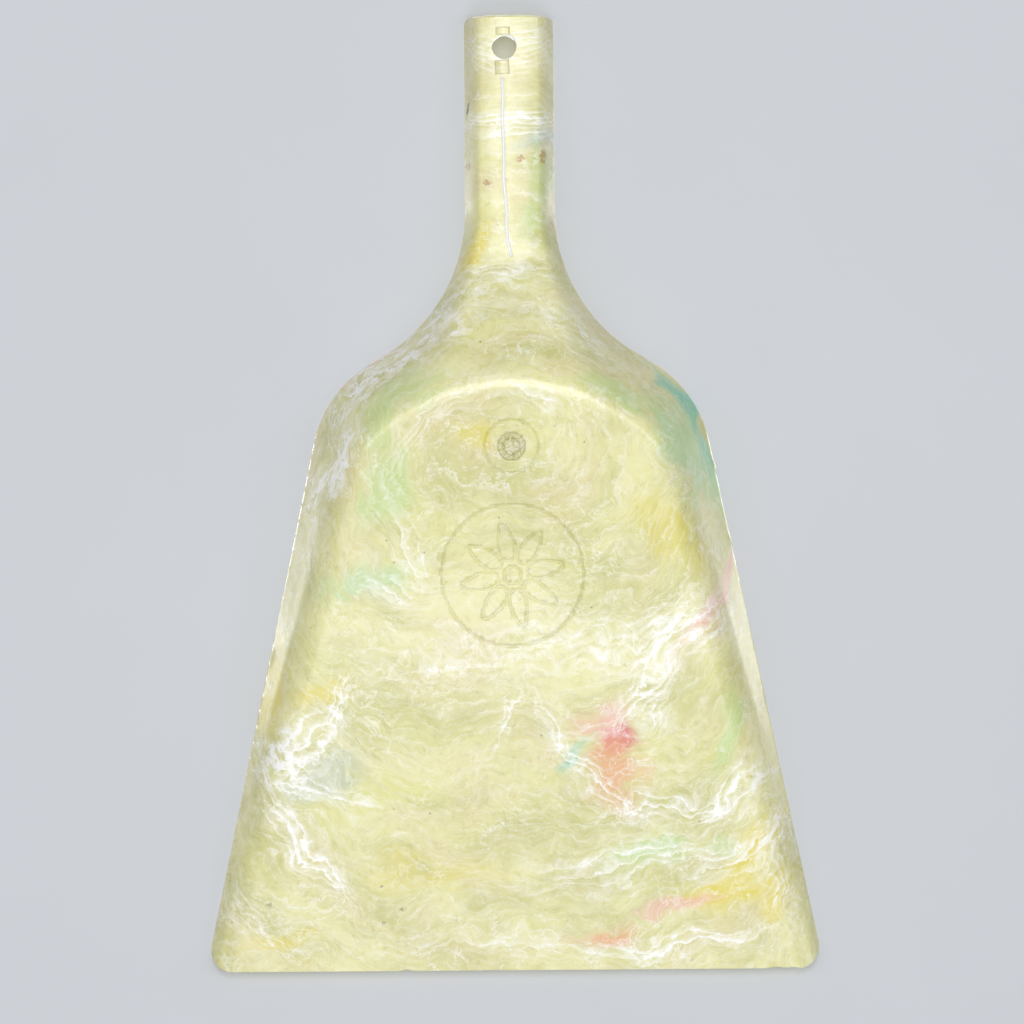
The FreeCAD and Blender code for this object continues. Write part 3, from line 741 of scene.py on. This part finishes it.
def tube(path, profile, closed):
    """Points and faces of a profile swept along a path; a profile is (across, raised) rows."""
    side = sideways(path, closed)
    rings = [on_skin(path, side * across, raised) for across, raised in profile]
    points = np.stack(rings, axis=1).reshape(-1, 3)
    count, size = len(path), len(profile)
    faces = []
    for i in range(count if closed else count - 1):
        for j in range(size):
            a, b = i * size + j, i * size + (j + 1) % size
            c, d = (i + 1) % count * size + (j + 1) % size, (i + 1) % count * size + j
            faces.append((a, b, c, d))
    if not closed:
        faces += [tuple(range(size)), tuple(range((count - 1) * size, count * size))]
    return points, faces


def marks_cutter():
    """Shallow grooves: the gate's rings, the round badge and a plain flower in it."""
    clear = 0.2                       # how far the cutter stands proud of the skin
    loops = [(circle(GATE_U, GATE_S, GATE_RING - MARK_WIDTH / 2), MARK_WIDTH, MARK_DEPTH),
             (circle(GATE_U, BADGE_S, BADGE_R - MARK_WIDTH / 2, 200), MARK_WIDTH, MARK_DEPTH),
             (circle(GATE_U, BADGE_S, EYE_R, 48), MARK_WIDTH, FLOWER_DEPTH)]
    turns = [2 * math.pi * k / PETALS + PETAL_TURN for k in range(PETALS)]
    loops += [(petal(GATE_U, BADGE_S, turn), FLOWER_WIDTH, FLOWER_DEPTH) for turn in turns]
    points = []
    faces = []
    for path, width, deep in loops:
        profile = [(-width / 2, clear), (width / 2, clear), (width / 4, -deep),
                   (-width / 4, -deep)]
        more, rows = tube(path, profile, True)
        faces += [tuple(i + len(points) for i in row) for row in rows]
        points += list(more)
    steps = 72
    recess = circle(GATE_U, GATE_S, SCAR_R, steps)
    top = len(points)
    foot = top + steps
    for raised in (clear, -MARK_DEPTH):
        points += list(on_skin(recess, np.zeros_like(recess), raised))
    faces += [(top + i, top + (i + 1) % steps, foot + (i + 1) % steps, foot + i)
              for i in range(steps)]
    faces += [tuple(range(top, foot)), tuple(range(foot, foot + steps))]
    return add_mesh("marks_cutter", points, faces)


def cut(pan, name, cutter):
    """Takes a cutter's shape out of the pan."""
    modifier = pan.modifiers.new(name, "BOOLEAN")
    modifier.operation = "DIFFERENCE"
    modifier.object = cutter
    modifier.solver = "EXACT"


def build_pan(material):
    """The whole moulding as one closed shell with a rounded rim."""
    outer = surface(200, False)
    inner = surface(120, True)
    points = wear(np.concatenate([outer.reshape(-1, 3), inner.reshape(-1, 3)]))
    start = outer.shape[0] * outer.shape[1]
    faces = grid_faces(*outer.shape[:2]) + grid_faces(*inner.shape[:2], start)
    faces += zip_loops(points, border(*outer.shape[:2], 0), border(*inner.shape[:2], start))
    faces = [face for face in faces if len(set(face)) == len(face)]
    pan = new_piece("pan_shell", points, faces, material)
    cutters = [hole_cutter(), marks_cutter()]
    cut(pan, "hole", cutters[0])
    bevel = pan.modifiers.new("rim", "BEVEL")
    bevel.width = 0.4 * MM
    bevel.segments = 3
    bevel.limit_method = "ANGLE"
    bevel.angle_limit = math.radians(42)
    bevel.harden_normals = True
    cut(pan, "marks", cutters[1])
    apply_modifiers(pan)
    pan.data.set_sharp_from_angle(angle=math.radians(34))
    for cutter in cutters:
        bpy.data.objects.remove(cutter)
    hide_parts(NODE)


def bead(name, path, width, height, material):
    """A low rounded bead along the skin, its foot sunk just beneath it."""
    sunk = 0.3
    top = [(t * width / 2, height * (1 - t * t) ** 1.5) for t in np.linspace(-1, 1, 9)]
    foot = [(width / 2, -sunk), (-width / 2, -sunk)]
    points, faces = tube(np.array(path, float), top + foot, False)
    return new_piece(name, points, faces, material)


def paint(piece, name, values):
    """Gives every vertex of a piece a value, or three, that the marble reads."""
    kind = "FLOAT_VECTOR" if np.ndim(values) == 2 else "FLOAT"
    attribute = piece.data.attributes.new(name, kind, "POINT")
    key = "vector" if kind == "FLOAT_VECTOR" else "value"
    attribute.data.foreach_set(key, np.asarray(values, dtype=np.float32).ravel())


def paint_evenly(piece, name, value):
    """The same for one value, or three, all over a piece."""
    paint(piece, name, np.full((len(piece.data.vertices),) + np.shape(value), value))


def wavy(points, sway, step=1.0):
    """A path through some points with a slight unsteady sway."""
    points = np.array(points, float)
    lengths = np.concatenate([[0], np.cumsum(np.hypot(*np.diff(points, axis=0).T))])
    at = np.linspace(0, lengths[-1], max(int(lengths[-1] / step), 3) + 1)
    path = np.stack([np.interp(at, lengths, points[:, i]) for i in (0, 1)], axis=1)
    path[:, 0] += [sway * noise.noise(Vector((a * 0.11, 3.7, 0))) for a in at]
    return path


# painted shade on the gate's scar: colour taken out in its folds and ring groove
SCAR_FOLD_SHADE = np.array([0.62, 0.66, 0.95])
PAD_STAIN = (0.0, 0.03, 0.16)


def crease(u, s, fineness, seed, width):
    """Crisp crooked lines, 1 on the line and 0 away from it."""
    return max(1 - abs(noise.noise(Vector((u * fineness, s * fineness, seed)))) / width, 0)


def build_scar(material):
    """The crumpled disc where the runner was broken off, in its shallow recess, with painted
    shade in its folds.
    """
    rows, columns = 28, 110
    play = 0.05                       # between the disc and its recess
    skirt = 0.35                      # how far its rim goes down into the skin
    points = []
    fold_shades = []
    for i in range(rows + 1):
        radius = (SCAR_R - play) * i / rows
        for j in range(columns if i else 1):
            turn = 2 * math.pi * j / columns
            u = GATE_U + radius * math.cos(turn)
            s = GATE_S + radius * math.sin(turn)
            fold = crease(u, s, 0.5, 0.3, 0.16)
            fine = crease(u, s, 1.2, 5.1, 0.22)
            ring = math.exp(-((radius - 3.1) / 0.3) ** 2)
            deep = 0.04 + 0.12 * fold + 0.05 * fine + 0.08 * ring
            deep += skirt * (i == rows)
            points.append(on_skin(np.array([[u, s]]), np.zeros((1, 2)), -deep)[0])
            # painted shade: the disc a little darker all over, and darker still in its sunk
            # folds and ring groove
            fold_shades.append(min(0.22 + 0.5 * fold + 0.25 * fine + 0.3 * ring, 0.85))
    rings = [[0] * columns]
    rings += [[1 + i * columns + j for j in range(columns)] for i in range(rows)]
    faces = []
    for inner, outer in zip(rings, rings[1:]):
        for j in range(columns):
            k = (j + 1) % columns
            face = (inner[j], inner[k], outer[k], outer[j])
            faces.append(face if inner[j] != inner[k] else face[1:])
    faces.append(tuple(rings[-1]))
    scar = new_piece("gate_scar", points, faces, material)
    paint(scar, "stain_and_shade", np.array(fold_shades)[:, None] * SCAR_FOLD_SHADE)


def build_details(plastic):
    """Raised moulding marks: seam, pads and flash at the hole, and the gate's scar; the seam's
    white is partly a painted highlight.
    """
    seam = bead("crown_seam", wavy([(-2.5, 335.5), (-2.2, 300), (-1.4, 285), (-1.0, 274),
                                    (0.4, 268)], 0.5), 1.2, 0.24, plastic)
    # white on the seam: partly its whitened plastic, partly a painted highlight along the
    # crown
    paint_evenly(seam, "chalk_and_highlight", 0.9)
    for name, path, height in (("pad_below_hole", [(-2.6, 342.1), (-2.4, 336.8)], 0.25),
                               ("pad_above_hole", [(-2.2, 351.6), (-2.2, 354.6)], 0.2)):
        pad = bead(name, wavy(path, 0.1, 0.5), 5.4, height, plastic)
        paint_evenly(pad, "stain_and_shade", PAD_STAIN)
    arc = np.linspace(math.radians(35), math.radians(100), 14)
    flash = np.stack([-HOLE_X + (HOLE_R + 0.1) * np.cos(arc),
                      HOLE_S + (HOLE_R - 0.1) * np.sin(arc)], axis=1)
    paint_evenly(bead("hole_flash", flash, 1.0, 0.4, plastic), "chalk_and_highlight", 0.9)
    build_scar(plastic)


# ---------------------------------------------------------------- stage, lights, camera
RIM_MIDDLE_S = 172.1              # centre of the picture, along the rim
PICTURE = 388.2                   # width of the picture at the rim
DISTANCE = 1700.0
ROLL = math.radians(-0.42)
STAGE_GAP = 0.0006                # between the pan and the table, in metres

# soft lights on one side of the pan, in metres and watts: name, how far out from the middle,
# along the pan, across it, width, height, power
LAMPS = [
    ("right", 1.15, 0.0, 0.62, 0.09, 1.3, 2.0),
    ("left", 1.15, 0.0, -0.62, 0.09, 1.3, 2.0),
    ("key", 1.6, 0.3, 0.0, 0.8, 0.6, 6.6),
    ("top", 1.6, 0.6, 0.0, 1.0, 0.4, 2.0),
    ("foot", 1.4, -0.8, 0.0, 1.0, 0.4, 2.2),
]
GLOW_S = 130.0                    # where on the floor a broad shine falls
WORLD_COLOR = (0.93, 0.96, 1.0, 1.0)
WORLD_STRENGTH = 0.46


def one_sided(name, color):
    """A pale surface that only shows from its front."""
    material = bpy.data.materials.new(name)
    nodes = material_nodes(material)
    behind = nodes.add("ShaderNodeNewGeometry", output=6)
    shade = nodes.noise(nodes.add("ShaderNodeTexCoord", output=3), 6.0, 4, 0.6)
    tone = nodes.mix(nodes.ramp(shade, 0.3, 0.7, 0, 0.25), color,
                     (color[0] * 0.9, color[1] * 0.9, color[2] * 0.9, 1))
    matte = nodes.add("ShaderNodeBsdfDiffuse", {"Color": tone})
    clear = nodes.add("ShaderNodeBsdfTransparent")
    nodes.add("ShaderNodeOutputMaterial", {"Surface": nodes.add(
        "ShaderNodeMixShader", {0: behind, 1: matte, 2: clear})})
    return material


def stage_plane(name, centre, normal, reach, material):
    """A square plane that only the camera sees and that takes shadows."""
    mesh = bpy.data.meshes.new(name)
    mesh.from_pydata([(-reach, -reach, 0), (reach, -reach, 0), (reach, reach, 0),
                      (-reach, reach, 0)], [], [(0, 1, 2, 3)])
    mesh.materials.append(material)
    plane = bpy.data.objects.new(name, mesh)
    plane.location = centre
    plane.rotation_euler = Vector(normal).to_track_quat("Z", "Y").to_euler()
    bpy.context.scene.collection.objects.link(plane)
    for ray in ("diffuse", "glossy", "transmission", "volume_scatter", "shadow"):
        setattr(plane, "visible_" + ray, False)


def soft_light(name, place, aim, width, height, power):
    """A rectangular lamp that faces a point and stays out of the picture."""
    lamp = bpy.data.lights.new(name, "AREA")
    lamp.shape = "RECTANGLE"
    lamp.size = width
    lamp.size_y = height
    lamp.energy = power
    light = bpy.data.objects.new(name, lamp)
    light.location = place
    light.rotation_euler = (Vector(place) - Vector(aim)).to_track_quat("Z", "Y").to_euler()
    light.visible_camera = False
    bpy.context.scene.collection.objects.link(light)


def build_lights(middle, facing, up):
    """The lamps, for the underside in the picture and for the open side in other views."""
    right = Vector((1, 0, 0))
    for tag, facing_out, lengthwise in (("under", facing, up),
                                        ("over", Vector((0, 0, 1)), Vector((0, -1, 0)))):
        for name, out, along, across, width, height, power in LAMPS:
            place = middle + facing_out * out + lengthwise * along + right * across
            soft_light(f"{tag}_{name}", place, middle, width, height, power)
    strip = middle + facing * 1.62 + up * 0.3
    soft_light("under_strip", strip, middle, 0.03, 0.5, 0.5)
    # a lamp where the camera's mirror image would be, so that the floor shines there
    glow_at = Vector((0, (MOUTH_Y + GLOW_S * COS) * MM, 0))
    view = middle + facing * DISTANCE * MM - glow_at
    glow = glow_at + Vector((0, -view.y, view.z)) * 0.97
    soft_light("under_glow", glow, glow_at, 0.7, 0.08, 1.0)


def build_stage():
    """Table, backdrop, lights and the camera square to the rim."""
    facing = Vector((0, SIN, -COS))
    middle = Vector((0, (MOUTH_Y + RIM_MIDDLE_S * COS) * MM, (RISE + RIM_MIDDLE_S * SIN) * MM))
    up = Vector((0, COS, SIN))
    pale = srgb(206, 208, 212)
    stage_plane("table_below", (0, 0, -STAGE_GAP), (0, 0, 1), 6.0,
                one_sided("pale_table", pale))
    stage_plane("table_behind", middle - facing * STAGE_GAP, facing, 1.5,
                one_sided("pale_backdrop", pale))
    build_lights(middle, facing, up)

    world = bpy.data.worlds.new("pale_room")
    world.use_nodes = True
    world.node_tree.nodes["Background"].inputs[0].default_value = WORLD_COLOR
    world.node_tree.nodes["Background"].inputs[1].default_value = WORLD_STRENGTH
    bpy.context.scene.world = world
    bpy.context.scene.view_settings.view_transform = "Standard"

    camera = bpy.data.objects.new("camera", bpy.data.cameras.new("camera"))
    bpy.context.scene.collection.objects.link(camera)
    camera.data.sensor_width = 36.0
    camera.data.lens = 36.0 * DISTANCE / PICTURE
    right = up.cross(facing)
    turn = Matrix((right, up, facing)).transposed() @ Matrix.Rotation(ROLL, 3, "Z")
    camera.matrix_world = Matrix.Translation(middle + facing * DISTANCE * MM) @ turn.to_4x4()
    camera.data.clip_start = 0.01
    camera.data.clip_end = 50
    bpy.context.scene.camera = camera


plastic = marble("marbled_plastic")
build_pan(plastic)
build_details(plastic)
build_stage()
